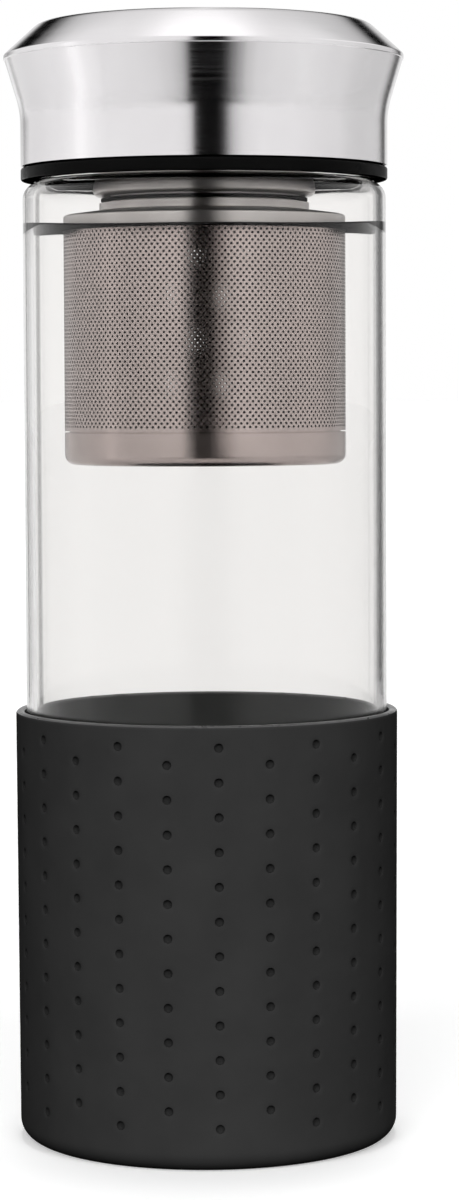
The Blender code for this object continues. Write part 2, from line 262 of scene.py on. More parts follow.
# Lamps: name, degrees from the front towards +X, degrees above the floor, strength, spread
SUN_SPREAD = math.radians(35)
TOP_SPREAD = math.radians(8)
LAMPS = (
    ("left_lamp", -20, 30, 0.54, SUN_SPREAD),
    ("right_lamp", 20, 30, 0.47, SUN_SPREAD),
    ("rear_lamp", 170, 45, 0.1, SUN_SPREAD),
    ("top_lamp", 180, 86, 0.3, TOP_SPREAD),
)

# Which rays a card shows itself to: light path value, test and level
CARD_TESTS = {
    "mirror": (("Glossy Depth", "GREATER_THAN", 0.5),),
    "inside": (("Glossy Depth", "GREATER_THAN", 0.5), ("Transmission Depth", "GREATER_THAN", 2.5)),
    "glass": (),
}

# How far from the bottle's axis the cards stand, and how bright the bright ones are
CARD_FOOT = 1 * MM
CARD_DISTANCE = 900 * MM
INNER_DISTANCE = 890 * MM
BASKET_GLEAM_DISTANCE = 870 * MM
BASKET_FLAG_DISTANCE = 850 * MM
OVERHEAD_HEIGHT = 1500 * MM
DISC_STEP = 15
LEFT_GLEAM = 1.22
OVERHEAD_GLEAM = 1.36
BASKET_GLEAM = 1.4

# Soft edges of the cards upwards: height and weight
FRONT_LEVELS = ((0.07, 0), (0.1, 1), (0.9, 1), (1.3, 0))
LOW_LEVELS = ((CARD_FOOT, 1), (0.11, 1), (0.14, 0))
UPRIGHT_LEVELS = ((CARD_FOOT, 1), (0.4, 1), (0.6, 0))
EDGE_LEVELS = ((CARD_FOOT, 1), (0.24, 1), (0.3, 0))
BASKET_LEVELS = ((CARD_FOOT, 1), (0.6, 1), (0.8, 0))
LEFT_LEVELS = (
    (0.2, 0), (0.27, 0.42), (0.36, 0.18), (0.40, 0.2), (0.45, 0.47), (0.52, 0.97), (0.57, 1),
    (0.67, 1), (0.70, 0.96), (0.735, 0.86), (0.80, 0.77), (0.86, 0.58),
    (0.98, 0.38), (1.14, 0.26), (1.35, 0.2), (1.7, 0.13), (2.4, 0.07), (3.2, 0),
)
RIGHT_LEVELS = (
    (0.2, 0), (0.28, 0.1), (0.37, 0.13), (0.43, 0.2), (0.48, 0.4), (0.53, 0.82), (0.56, 0.97),
    (0.60, 1), (0.66, 1), (0.72, 0.78), (0.77, 0.56), (0.87, 0.4), (1.0, 0.34), (1.16, 0.3),
    (1.4, 0.25), (1.9, 0.16), (2.4, 0.07), (2.8, 0),
)

# Soft edges of the cards outwards, on the floor or overhead: distance and weight
FLOOR_ROWS = ((0.24, 0), (0.28, 1))
EDGE_FLOOR_ROWS = ((0.74, 0), (0.8, 1))
OVERHEAD_ROWS = ((0.02, 1), (0.29, 1), (0.38, 0.5), (0.47, 0.15), (0.6, 0))

# Soft edges of the cards sideways: degrees from the front towards +X and weight
FRONT_TURNS = (
    (-16, 0), (-11, 0.04), (-8.3, 0.14), (-7, 0.34), (-5.8, 0.65), (-4.8, 0.93), (-3.5, 1),
    (9, 1), (12, 0.97), (14, 0.78), (17, 0.42), (20, 0.24), (24, 0.1), (30, 0.03), (36, 0),
)
LOW_TURNS = (
    (-60, 0), (-45, 0.04), (-33, 0.08), (-22, 0.17), (-15, 0.3), (-11, 0.5), (-8.5, 0.85), (-7, 1),
    (10, 1), (13, 0.96), (17, 0.77), (21, 0.56), (26, 0.27), (32, 0.13), (42, 0.07), (60, 0.02),
    (70, 0),
)
LEFT_REAR_TURNS = ((179, 0), (183, 1), (216, 1), (226, 0))
RIGHT_REAR_TURNS = ((131, 0), (141, 1), (177, 1), (180, 0))
LEFT_GLEAM_TURNS = ((-99, 0), (-88, 0.4), (-83, 1), (-79, 1), (-74, 0.5), (-62, 0))
RIGHT_SHADE_TURNS = (
    (58, 0), (70, 0.05), (82, 0.1), (92, 0.13), (100, 0.2), (112, 0.25), (145, 0.26), (158, 0),
)
LEFT_SHADE_TURNS = (
    (-176, 0), (-162, 0.06), (-145, 0.09), (-130, 0.09), (-118, 0.06), (-104, 0),
)
RIGHT_GAP_TURNS = (
    (136, 0), (141, 0.18), (145, 0.55), (149, 0.82), (153, 0.84), (157, 0.25), (162, 0.14),
    (174, 0.1), (180, 0),
)
LEFT_GAP_TURNS = ((-156, 0), (-152, 0.3), (-149, 0.3), (-145, 0))
LEFT_EDGE_TURNS = ((196, 0), (198, 1), (201, 1), (203, 0))
RIGHT_EDGE_TURNS = ((151, 0), (154, 0.6), (157, 0.6), (160, 0))
BASKET_FLAG_TURNS = (
    (-19, 0), (-15, 0.25), (-12.5, 0.75), (-10, 0.98), (-8, 1), (0, 1), (5, 1), (7.5, 0.9),
    (10, 0.68), (14, 0.44), (18, 0.25), (23, 0.08), (28, 0),
)
BASKET_GLEAM_TURNS = (
    (-80, 0), (-70, 0.02), (-60, 0.06), (-50, 0.22), (-38, 0.52), (-30, 0.7), (-22, 0.84),
    (-15, 0.9), (-8, 0.92), (0, 0.94), (8, 0.96), (16, 0.97), (24, 0.97), (32, 0.9), (40, 0.68),
    (47, 0.5), (55, 0.4), (63, 0.36), (70, 0.38), (78, 0.44), (86, 0.5), (98, 0.45), (110, 0.3),
    (118, 0.22), (125, 0.2), (133, 0.24), (140, 0.28), (150, 0.28), (160, 0),
)

# Camera
CAMERA_DISTANCE = 619 * MM
CAMERA_HEIGHT = 135.4 * MM
CAMERA_OFFSET = 4.2 * MM
CAMERA_PITCH = math.radians(3.55)
CAMERA_ROLL = math.radians(-0.26)
CAMERA_LENS = 103.1
CAMERA_SENSOR = 36
CLIP_START = 50 * MM
CLIP_END = 100.0


def rounded(corners):
    """Return an outline's points, with an arc at each corner that names a radius."""
    points = []
    for index, corner in enumerate(corners):
        here = Vector(corner[:2])
        if len(corner) == 2:
            points.append(here)
            continue
        radius = corner[2]
        back = (Vector(corners[index - 1][:2]) - here).normalized()
        ahead = (Vector(corners[(index + 1) % len(corners)][:2]) - here).normalized()
        opening = back.angle(ahead)
        centre = here + (back + ahead).normalized() * radius / math.sin(opening / 2)
        arm = here + back * radius / math.tan(opening / 2) - centre
        turn = math.pi - opening
        if back.x * ahead.y - back.y * ahead.x > 0:
            turn = -turn
        steps = math.ceil(abs(turn) * max(1 / ARC_TURN, radius / ARC_SPAN))
        for step in range(steps + 1):
            points.append(centre + Matrix.Rotation(turn * step / steps, 2) @ arm)
    return points


def sheet(points, thickness):
    """Return the closed outline of a sheet whose outer side runs down through points."""
    inner = []
    for index, here in enumerate(points):
        normals = []
        for start, end in ((index - 1, index), (index, index + 1)):
            if start >= 0 and end < len(points):
                along = (points[end] - points[start]).normalized()
                normals.append(Vector((along.y, -along.x)))
        offset = (normals[0] + normals[-1]) * thickness / (1 + normals[0].dot(normals[-1]))
        if here.x == 0:
            offset = Vector((0, -thickness))
        inner.append(here + offset)
    return list(points) + inner[::-1]


def wall(radius, start, end):
    """Return closely spaced points along a straight wall that carries a thread."""
    steps = math.ceil(abs(end - start) / THREAD_STEP)
    return [(radius, start + (end - start) * step / steps) for step in range(steps + 1)]


def arc_height(radius, chord, rise):
    """Return how high a shallow crown of one chord and rise stands at a radius."""
    sphere = (chord * chord + rise * rise) / (2 * rise)
    return math.sqrt(sphere * sphere - radius * radius) - sphere + rise


def thread_relief(radius, side, depth, lead, starts, arc, level, first_angle=0):
    """Return a relief that raises helical ridges from the wall at one radius."""
    middle = (lead / starts / 2 - THREAD_PLAY) / 2
    slope = math.tan(FLANK_ANGLE)

    def relief(angles, reach, height):
        if abs(reach - radius) > TOUCH:
            return np.zeros_like(angles)
        raised = np.zeros_like(angles)
        for start in range(starts):
            around = (angles - first_angle - math.tau * start / starts) % math.tau
            for turn in (around, around + math.tau):
                fade = np.clip(np.minimum(turn, arc - turn) / FADE_ANGLE, 0, 1)
                away = np.abs(height - level - lead * turn / math.tau)
                ridge = (depth + THREAD_GAP) / 2 + (middle - away) / slope
                raised = np.maximum(raised, np.clip(ridge, 0, depth * fade))
        return side * raised

    return relief


def new_object(name, mesh, node, material):
    """Return an object for a finished mesh that stands for a node and rides on its body."""
    mesh.materials.append(material)
    return place_object(name, mesh, node)


def two_tone_object(name, mesh, node, materials, second_from, second_to):
    """Return an object whose faces between two (radius, height) corners take another look."""
    for material in materials:
        mesh.materials.append(material)
    for polygon in mesh.polygons:
        reach = math.hypot(*polygon.center.xy)
        if second_from[0] < reach < second_to[0] and second_from[1] < polygon.center.z < second_to[1]:
            polygon.material_index = 1
    return place_object(name, mesh, node)


def place_object(name, mesh, node):
    """Return a smooth object that stands for a node and rides on its body."""
    mesh.shade_smooth()
    mesh.set_sharp_from_angle(angle=SHARP_ANGLE)
    piece = bpy.data.objects.new(name, mesh)
    bpy.context.scene.collection.objects.link(piece)
    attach(piece, frame["nodes"][node]["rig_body"])
    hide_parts(node)
    return piece


def mesh_from(name, points, faces):
    """Return a mesh with merged doubles and outward faces."""
    mesh = bpy.data.meshes.new(name)
    mesh.from_pydata(points, [], faces)
    shape = bmesh.new()
    shape.from_mesh(mesh)
    bmesh.ops.remove_doubles(shape, verts=shape.verts, dist=TOUCH)
    bmesh.ops.recalc_face_normals(shape, faces=shape.faces)
    shape.to_mesh(mesh)
    shape.free()
    return mesh


def lathe(name, outline, relief=None):
    """Return the mesh of a solid of revolution, from (radius, height) points."""
    angles = np.arange(SIDES) * math.tau / SIDES
    points = []
    rings = []
    for reach, height in outline:
        first = len(points)
        if reach == 0:
            points.append((0, 0, height))
            rings.append([first] * SIDES)
            continue
        reaches = np.full(SIDES, reach)
        if relief is not None:
            reaches = reaches + relief(angles, reach, height)
        columns = (reaches * np.cos(angles), reaches * np.sin(angles), np.full(SIDES, height))
        points.extend(np.column_stack(columns).tolist())
        rings.append(list(range(first, first + SIDES)))
    pairs = list(zip(rings, rings[1:]))
    if outline[0][0] != 0 or outline[-1][0] != 0:
        pairs.append((rings[-1], rings[0]))
    faces = []
    for lower, upper in pairs:
        for side in range(SIDES):
            corners = (lower[side - 1], lower[side], upper[side], upper[side - 1])
            faces.append(tuple(dict.fromkeys(corners)))
    return mesh_from(name, points, faces)


def span(node):
    """Return a node's outer radius, its foot and its top."""
    low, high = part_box(node)
    return high.x, low.z, high.z


# Places in the frame that several pieces share
glass_radius, glass_foot, rim_level = span("glass_body")
shell_radius, skirt_foot = span("cap_shell")[:2]
plate_foot = span("socket_ring")[2] + SEAT_GAP
shoulder_level = rim_level - NECK_HEIGHT
neck_radius = glass_radius - NECK_STEP
mouth_radius = neck_radius - NECK_WALL
bore_radius = glass_radius - GLASS_WALL
liner_bore = neck_radius + LID_THREAD_DEPTH + THREAD_GAP
liner_radius = liner_bore + LINER_WALL
skirt_radius = shell_radius - EDGE_REACH
edge_level = skirt_foot + SKIRT_HEIGHT
edge_foot = edge_level - EDGE_BAND
flare_foot = edge_foot - FLARE_HEIGHT
bevel_top = edge_level + BEVEL_HEIGHT
crown_radius = shell_radius - BEVEL_REACH
bead_top = span("infuser_gasket")[1] - SEAT_GAP
wall_radius, wall_foot, wall_top = span("infuser_wall")
joggle_radius = wall_radius - BASKET_SHEET - SEAT_GAP
infuser_thread = {
    "depth": INFUSER_THREAD_DEPTH,
    "lead": INFUSER_THREAD_LEAD,
    "starts": 1,
    "arc": INFUSER_THREAD_ARC,
    "first_angle": math.pi,
}
lid_thread = {
    "depth": LID_THREAD_DEPTH,
    "lead": LID_THREAD_LEAD,
    "starts": LID_THREAD_STARTS,
    "arc": LID_THREAD_ARC,
}


def make_glass(material):
    """Make the glass: a straight body, a rounded shoulder and a threaded neck."""
    floor_top = glass_foot + GLASS_FLOOR
    under = shoulder_level - SHOULDER_WALL
    outline = rounded([
        (0, glass_foot),
        (glass_radius, glass_foot, GLASS_CORNER),
        (glass_radius, shoulder_level, SHOULDER_CORNER),
        (neck_radius, shoulder_level, NECK_FILLET),
        *wall(neck_radius, shoulder_level + NECK_FILLET, rim_level - RIM_ROUND),
        (neck_radius, rim_level, RIM_ROUND),
        (mouth_radius, rim_level, RIM_ROUND),
        (mouth_radius, under, NECK_FILLET),
        (bore_radius, under, SHOULDER_FILLET),
        (bore_radius, floor_top, GLASS_CORNER - GLASS_WALL),
        (0, floor_top),
    ])
    relief = thread_relief(
        neck_radius, 1, level=shoulder_level + LID_THREAD_LEVEL, **lid_thread
    )
    new_object("clear_glass_bottle", lathe("glass", outline, relief), "glass_body", material)


def make_lid_shell(material):
    """Make the pressed steel shell, whose flare ends under an upright edge."""
    crown = []
    for step in range(1, CROWN_STEPS + 1):
        radius = crown_radius * (1 - step / CROWN_STEPS)
        crown.append((radius, bevel_top + arc_height(radius, crown_radius, CROWN_HEIGHT)))
    skirt = [(skirt_radius, skirt_foot), (skirt_radius, flare_foot, FLARE_BEND)]
    top = [
        (shell_radius, edge_level, EDGE_ROUND),
        (crown_radius, bevel_top, BEVEL_ROUND),
        *crown,
    ]
    face_foot = edge_level - EDGE_FACE
    ledge = [
        (shell_radius - EDGE_LEDGE, face_foot - LEDGE_ROUND),
        (shell_radius, face_foot, LEDGE_ROUND),
    ]
    plain = rounded([*skirt, (shell_radius, edge_foot, EDGE_ROUND), *top])
    plain.reverse()
    plain[0].x = 0
    inner = sheet(plain, SHELL_SHEET)[len(plain):]
    outer = rounded([*skirt, *ledge, *top])
    outer.reverse()
    outer[0].x = 0
    new_object("lid_shell", lathe("shell", outer + inner), "cap_shell", material)


def make_lid_liner(matte, glossy):
    """Make the liner: thread skirt with a dark rim, sealing plate and crown post."""
    foot = span("cap_liner")[1]
    plate_top = plate_foot + LINER_PLATE
    post_top = span("cap_liner")[2]
    post_bore = POST_RADIUS - POST_WALL
    snap_radius = liner_radius + SNAP_REACH
    outline = rounded([
        (0, plate_foot),
        (liner_bore, plate_foot),
        *wall(liner_bore, plate_foot, foot),
        (skirt_radius, foot, LINER_CHAMFER),
        (skirt_radius, foot + LINER_RIM, LINER_CHAMFER),
        (liner_radius, foot + LINER_RIM),
        (liner_radius, plate_top - SNAP_HEIGHT - SNAP_REACH),
        (snap_radius, plate_top - SNAP_HEIGHT),
        (snap_radius, plate_top),
        (POST_RADIUS, plate_top),
        (POST_RADIUS, post_top),
        (post_bore, post_top),
        (post_bore, plate_top),
        (0, plate_top),
    ])
    level = shoulder_level + LID_THREAD_LEVEL - LID_THREAD_LEAD / LID_THREAD_STARTS / 2
    relief = thread_relief(liner_bore, -1, level=level, **lid_thread)
    two_tone_object(
        "lid_liner",
        lathe("liner", outline, relief),
        "cap_liner",
        (matte, glossy),
        (skirt_radius - LINER_CHAMFER / 2, foot),
        (shell_radius, foot + LINER_RIM),
    )


def make_collar(material):
    """Make the steel collar that the infuser screws into."""
    flange_radius, foot, top = span("socket_ring")
    collar_radius = flange_radius - FLANGE_REACH
    bore = collar_radius - SOCKET_WALL
    outline = rounded([
        (bore, foot),
        (collar_radius, foot, SOCKET_ROUND),
        (collar_radius, top - FLANGE_SHEET),
        (flange_radius, top - FLANGE_SHEET),
        (flange_radius, top),
        (bore, top),
        *wall(bore, top, foot),
    ])
    level = bead_top + INFUSER_THREAD_LEVEL - INFUSER_THREAD_LEAD / 2
    relief = thread_relief(bore, -1, level=level, **infuser_thread)
    new_object("steel_collar", lathe("collar", outline, relief), "socket_ring", material)


def make_ring(name, node, inner, edge, material, spread=0, height=0, lift=0, tab=0):
    """Make a ring with softened edges where the frame has one.

    At its two sides the rim is bent up by lift and thickened downwards by tab.
    """
    outer, foot, top = span(node)
    outer += spread
    if height:
        foot = top - height
    outline = rounded([(inner, foot, edge), (outer, foot, edge), (outer, top, edge), (inner, top, edge)])
    mesh = lathe(name, outline)
    for vertex in mesh.vertices:
        reach = math.hypot(*vertex.co.xy)
        outward = max(reach - inner, 0) / (outer - inner)
        side = (vertex.co.x / reach) ** 2
        if vertex.co.z < (foot + top) / 2:
            vertex.co.z -= tab * outward * max(1 - (1 - side) / SEAL_TAB_SHARE, 0)
        vertex.co.z += lift * outward * side ** 2
    new_object(name, mesh, node, material)


def make_infuser_top(material):
    """Make the pressed top of the infuser: threaded tube, bead and shoulder."""
    collar_radius = span("socket_ring")[0] - FLANGE_REACH
    tube_radius = collar_radius - SOCKET_WALL - THREAD_GAP - INFUSER_THREAD_DEPTH
    bead_radius = collar_radius - BEAD_INSET
    bead_foot = bead_top - BEAD_HEIGHT
    shoulder = bead_foot - SHOULDER_DROP
    rim = shoulder - SHOULDER_RIM
    tube_top = bead_top + TUBE_HEIGHT
    outer = rounded([
        *wall(tube_radius, tube_top, bead_top),
        (bead_radius, bead_top),
        (bead_radius, bead_foot),
        (wall_radius, shoulder, SHOULDER_ROUND),
        (wall_radius, rim),
        (joggle_radius, rim),
        (joggle_radius, rim - JOGGLE_HEIGHT),
    ])
    relief = thread_relief(
        tube_radius, 1, level=bead_top + INFUSER_THREAD_LEVEL, **infuser_thread
    )
    mesh = lathe("infuser_top", sheet(outer, NECK_SHEET), relief)
    new_object("infuser_top", mesh, "infuser_neck", material)


def make_basket_foot(material):
    """Make the plain band round the basket's foot."""
    foot = span("infuser_base_cup")[1]
    band_top = foot + BAND_HEIGHT
    outer = rounded([
        (joggle_radius, band_top + JOGGLE_HEIGHT),
        (joggle_radius, band_top),
        (wall_radius, band_top),
        (wall_radius, foot, CUP_ROUND),
        (wall_radius - LIP_WIDTH, foot),
    ])
    mesh = lathe("basket_foot", sheet(outer, CUP_SHEET))
    new_object("basket_foot", mesh, "infuser_base_cup", material)


def hole_cell(radius):
    """Return the six corners of a brick cell, as shares of its size, and a hole's points."""
    corner_shares = [(0.5, 0.5), (0, 0.5), (-0.5, 0.5), (-0.5, -0.5), (0, -0.5), (0.5, -0.5)]
    hole = []
    for side in range(HOLE_SIDES):
        angle = math.tau * (side + 0.5) / HOLE_SIDES
        hole.append((radius * math.cos(angle), radius * math.sin(angle)))
    return corner_shares, hole


def make_basket_mesh(outside, inside):
    """Make the basket's wall of perforated sheet, rolled from two half tubes."""
    corner_shares, hole = hole_cell(HOLE_RADIUS)
    step = math.tau / HOLE_COLUMNS
    bore = wall_radius - BASKET_SHEET
    rows = int((wall_top - wall_foot - 2 * HOLE_MARGIN) / HOLE_PITCH)
    first_row = (wall_foot + wall_top - HOLE_PITCH * (rows - 1)) / 2
    top_row = first_row + HOLE_PITCH * (rows - 1)
    half = HOLE_COLUMNS // 2
    for part in range(2):
        points = []
        faces = []

        def place(turn, height, *inner):
            """Add a point on the outer side and its partner on the inner side."""
            for reach, (angle, level) in (
                (wall_radius, (turn, height)),
                (bore, inner or (turn, height)),
            ):
                points.append((reach * math.cos(angle), reach * math.sin(angle), level))
            return len(points) - 2

        for row in range(rows):
            level = first_row + HOLE_PITCH * row
            shift = 0.5 * (row % 2)
            for column in range(half):
                turn = (part * half + column + shift) * step
                cell = [
                    place(turn + x * step, level + y * HOLE_PITCH) for x, y in corner_shares
                ]
                ring = []
                for x, y in hole:
                    swing = x / wall_radius
                    inner = (turn + swing * HOLE_TAPER, level + y * HOLE_TAPER)
                    ring.append(place(turn + swing, level + y, *inner))
                for side in range(HOLE_SIDES):
                    before = side - 1
                    outer = (cell[before], cell[side], ring[side], ring[before])
                    faces.append(outer)
                    faces.append(tuple(corner + 1 for corner in reversed(outer)))
                    faces.append(
                        (ring[before], ring[side], ring[side] + 1, ring[before] + 1)
                    )
        for low, high in (
            (wall_foot, first_row - HOLE_PITCH / 2),
            (top_row + HOLE_PITCH / 2, wall_top),
        ):
            for column in range(half * 2):
                turn = (part * half + column / 2 - 0.5) * step
                corners = [
                    place(turn, low),
                    place(turn + step / 2, low),
                    place(turn + step / 2, high),
                    place(turn, high),
                ]
                faces.append(tuple(corners))
                faces.append(tuple(corner + 1 for corner in reversed(corners)))
                edge = corners[:2] if low == wall_foot else corners[2:]
                faces.append((edge[0], edge[1], edge[1] + 1, edge[0] + 1))
        mesh = mesh_from(f"basket_mesh_{part}", points, faces)
        # The inner side of the sheet takes the darker inner steel: painted shade that darkens the holes
        two_tone_object(
            ("basket_mesh_back", "basket_mesh_front")[part],
            mesh,
            "infuser_wall",
            (outside, inside),
            (0, wall_foot),
            (wall_radius - BASKET_SHEET / 4, wall_top),
        )


def make_basket_plate(material):
    """Make the perforated disc in the basket's foot."""
    radius, foot, top = span("infuser_base_plate")
    reach = radius - PLATE_MARGIN
    row_pitch = PLATE_PITCH * math.sqrt(3) / 2
    corner_shares, hole = hole_cell(PLATE_HOLE_RADIUS)
    rows = int(reach / row_pitch)
    points = []
    faces = []

    def place(x, y):
        """Add a point on the disc's top and its partner under it."""
        points.append((x, y, top))
        points.append((x, y, foot))
        return len(points) - 2

    open_sides = {}
    for row in range(-rows, rows + 1):
        level = row * row_pitch
        shift = 0.5 * (row % 2)
        width = math.sqrt(reach * reach - level * level)
        columns = int(width / PLATE_PITCH - 0.5)
        for column in range(-columns - row % 2, columns + 1):
            middle = (column + shift) * PLATE_PITCH
            cell = [
                place(middle + x * PLATE_PITCH, level + y * row_pitch)
                for x, y in corner_shares
            ]
            ring = [place(middle + x, level + y) for x, y in hole]
            for side in range(HOLE_SIDES):
                before = side - 1
                outer = (cell[before], cell[side], ring[side], ring[before])
                faces.append(outer)
                faces.append(tuple(corner + 1 for corner in reversed(outer)))
                faces.append((ring[before], ring[side], ring[side] + 1, ring[before] + 1))
                ends = [
                    tuple(round(value / TOUCH) for value in points[corner][:2])
                    for corner in (cell[before], cell[side])
                ]
                key = frozenset(ends)
                if key in open_sides:
                    del open_sides[key]
                else:
                    open_sides[key] = (cell[before], cell[side])
    for start, end in open_sides.values():
        rim = []
        for corner in (end, start):
            x, y = points[corner][:2]
            share = radius / math.hypot(x, y)
            rim.append(place(x * share, y * share))
        faces.append((start, end, rim[0], rim[1]))
        faces.append((rim[1] + 1, rim[0] + 1, end + 1, start + 1))
        faces.append((rim[1], rim[0], rim[0] + 1, rim[1] + 1))
    mesh = mesh_from("basket_plate", points, faces)
    new_object("basket_plate", mesh, "infuser_base_plate", material)


def make_sleeve(matte, glossy, pit_shade_look):
    """Make the silicone boot with staggered columns of round dimples."""
    outer_radius, foot, lip = span("grip_sleeve")
    sleeve_bore = glass_radius + SEAT_GAP
    foot_radius = outer_radius - SLEEVE_TAPER
    foot_inner = foot_radius - SLEEVE_CORNER - FOOT_WIDTH
    top_row = lip - DIMPLE_TOP
    grid_top = top_row + DIMPLE_PITCH / 2
    grid_foot = grid_top - DIMPLE_PITCH * DIMPLE_ROWS

    def reach_at(height):
        """Return the radius of the tapered outer wall."""
        return foot_radius + SLEEVE_TAPER * (height - foot) / (lip - foot)

    outline = rounded([
        (0, foot + FOOT_RECESS),
        (foot_inner, foot + FOOT_RECESS),
        (foot_inner, foot),
        (foot_radius, foot, SLEEVE_CORNER),
        (reach_at(grid_foot), grid_foot),
        (reach_at(grid_top), grid_top),
        (outer_radius, lip, SLEEVE_LIP),
        (sleeve_bore, lip, SLEEVE_LIP),
        (sleeve_bore, foot + SLEEVE_FLOOR, GLASS_CORNER),
        (0, foot + SLEEVE_FLOOR),
    ])
    mesh = lathe("sleeve", outline)
    shape = bmesh.new()
    shape.from_mesh(mesh)
    plain = [
        face
        for face in shape.faces
        if abs(face.calc_center_median().z - (grid_foot + grid_top) / 2) < (grid_top - grid_foot) / 2
        and math.hypot(*face.calc_center_median().xy) > (outer_radius + sleeve_bore) / 2
    ]
    bmesh.ops.delete(shape, geom=plain, context="FACES")
    shape.to_mesh(mesh)
    shape.free()
    points = [tuple(vertex.co) for vertex in mesh.vertices]
    faces = [tuple(polygon.vertices) for polygon in mesh.polygons]

    per_side = SIDES // DIMPLE_COLUMNS
    cell_turn = math.tau / DIMPLE_COLUMNS
    first_turn = -math.pi / 2 + DIMPLE_TURN
    first_turn = round(first_turn / (math.tau / SIDES) - 0.5 * (per_side % 2)) * math.tau / SIDES

    def place(turn, height, depth):
        """Add a point of the outer wall, sunk by a depth."""
        reach = reach_at(height) - depth
        points.append((reach * math.cos(turn), reach * math.sin(turn), height))
        return len(points) - 1

    edge = []
    for step in range(per_side):
        edge.append((-0.5 + step / per_side, -0.5))
    for step in range(per_side):
        edge.append((0.5, -0.5 + step / per_side))
    for step in range(per_side):
        edge.append((0.5 - step / per_side, 0.5))
    for step in range(per_side):
        edge.append((-0.5, 0.5 - step / per_side))
    for column in range(DIMPLE_COLUMNS):
        turn = first_turn + column * cell_turn
        lowered = column % 2
        drop = 0.5 * DIMPLE_PITCH * lowered
        for row in range(DIMPLE_ROWS - lowered):
            level = top_row - drop - row * DIMPLE_PITCH
            rings = [[place(turn + x * cell_turn, level + y * DIMPLE_PITCH, 0) for x, y in edge]]
            for radius_share, depth_share in zip(DIMPLE_RADIUS_SHARES, DIMPLE_DEPTH_SHARES):
                ring = []
                for x, y in edge:
                    arm = Vector((x * cell_turn * outer_radius, y * DIMPLE_PITCH)).normalized()
                    arm *= DIMPLE_RADIUS * radius_share
                    ring.append(
                        place(turn + arm.x / outer_radius, level + arm.y, DIMPLE_DEPTH * depth_share)
                    )
                rings.append(ring)
            for outer, inner in zip(rings, rings[1:]):
                for side in range(len(edge)):
                    faces.append((outer[side - 1], outer[side], inner[side], inner[side - 1]))
            faces.append(tuple(rings[-1]))
        if not lowered:
            continue
        steps = per_side // 2
        for high in (grid_top, grid_foot + DIMPLE_PITCH / 2):
            for across in range(per_side):
                for up in range(steps):
                    quad = []
                    for right, rise in ((0, 0), (1, 0), (1, 1), (0, 1)):
                        side_turn = turn + ((across + right) / per_side - 0.5) * cell_turn
                        side_level = high - DIMPLE_PITCH / 2 * (up + rise) / steps
                        quad.append(place(side_turn, side_level, 0))
                    faces.append(tuple(quad))
    mesh = mesh_from("dimpled_sleeve", points, faces)
    # The lip's faces take the lip silicone, whose lighter colour is a painted highlight
    two_tone_object(
        "dimpled_sleeve",
        mesh,
        "grip_sleeve",
        (matte, glossy, pit_shade_look),
        (sleeve_bore, lip - SLEEVE_LIP / 2),
        (outer_radius, lip + SLEEVE_LIP),
    )
    # Faces deep in the dimples take the darker pit silicone: painted shade in the pits
    for polygon in mesh.polygons:
        height = polygon.center.z
        reach = math.hypot(*polygon.center.xy)
        sunk = sleeve_bore < reach < reach_at(height) - DIMPLE_DEPTH * SHADED_PIT_SHARE
        if sunk and grid_foot < height < grid_top:
            polygon.material_index = 2


def shader_of(name, slot=None):
    """Return a new material for a slot, its nodes, its links and its Principled shader."""
    material = bpy.data.materials.new(f"look_{name}")
    material["slot"] = slot or name
    material.use_nodes = True
    nodes = material.node_tree.nodes
    return material, nodes, material.node_tree.links, nodes["Principled BSDF"]


def turned_coordinates(nodes, links):
    """Return a socket whose noise runs in rings round Z, as marks from a lathe do."""
    where = nodes.new("ShaderNodeTexCoord")
    split = nodes.new("ShaderNodeSeparateXYZ")
    flat = nodes.new("ShaderNodeCombineXYZ")
    reach = nodes.new("ShaderNodeVectorMath")
    reach.operation = "LENGTH"
    rings = nodes.new("ShaderNodeCombineXYZ")
    links.new(where.outputs["Object"], split.inputs[0])
    links.new(split.outputs["X"], flat.inputs["X"])
    links.new(split.outputs["Y"], flat.inputs["Y"])
    links.new(flat.outputs[0], reach.inputs[0])
    links.new(reach.outputs["Value"], rings.inputs["X"])
    links.new(split.outputs["Z"], rings.inputs["Z"])
    return rings.outputs[0]


def noise_range(nodes, links, vector, scale, detail, low, high):
    """Return a socket that varies between two values with a noise."""
    noise = nodes.new("ShaderNodeTexNoise")
    noise.inputs["Scale"].default_value = scale
    noise.inputs["Detail"].default_value = detail
    spread = nodes.new("ShaderNodeMapRange")
    spread.inputs["From Min"].default_value = NOISE_LOW
    spread.inputs["From Max"].default_value = NOISE_HIGH
    spread.inputs["To Min"].default_value = low
    spread.inputs["To Max"].default_value = high
    links.new(vector, noise.inputs["Vector"])
    links.new(noise.outputs["Fac"], spread.inputs["Value"])
    return spread.outputs["Result"]


def tinted(nodes, links, factor, dark, light):
    """Return a colour socket between two colours."""
    mix = nodes.new("ShaderNodeMix")
    mix.data_type = "RGBA"
    mix.inputs["A"].default_value = (*dark, 1)
    mix.inputs["B"].default_value = (*light, 1)
    links.new(factor, mix.inputs["Factor"])
    return mix.outputs["Result"]


def bumped(nodes, links, height, strength, distance):
    """Return a normal socket raised by a height."""
    bump = nodes.new("ShaderNodeBump")
    bump.inputs["Strength"].default_value = strength
    bump.inputs["Distance"].default_value = distance
    links.new(height, bump.inputs["Height"])
    return bump.outputs["Normal"]


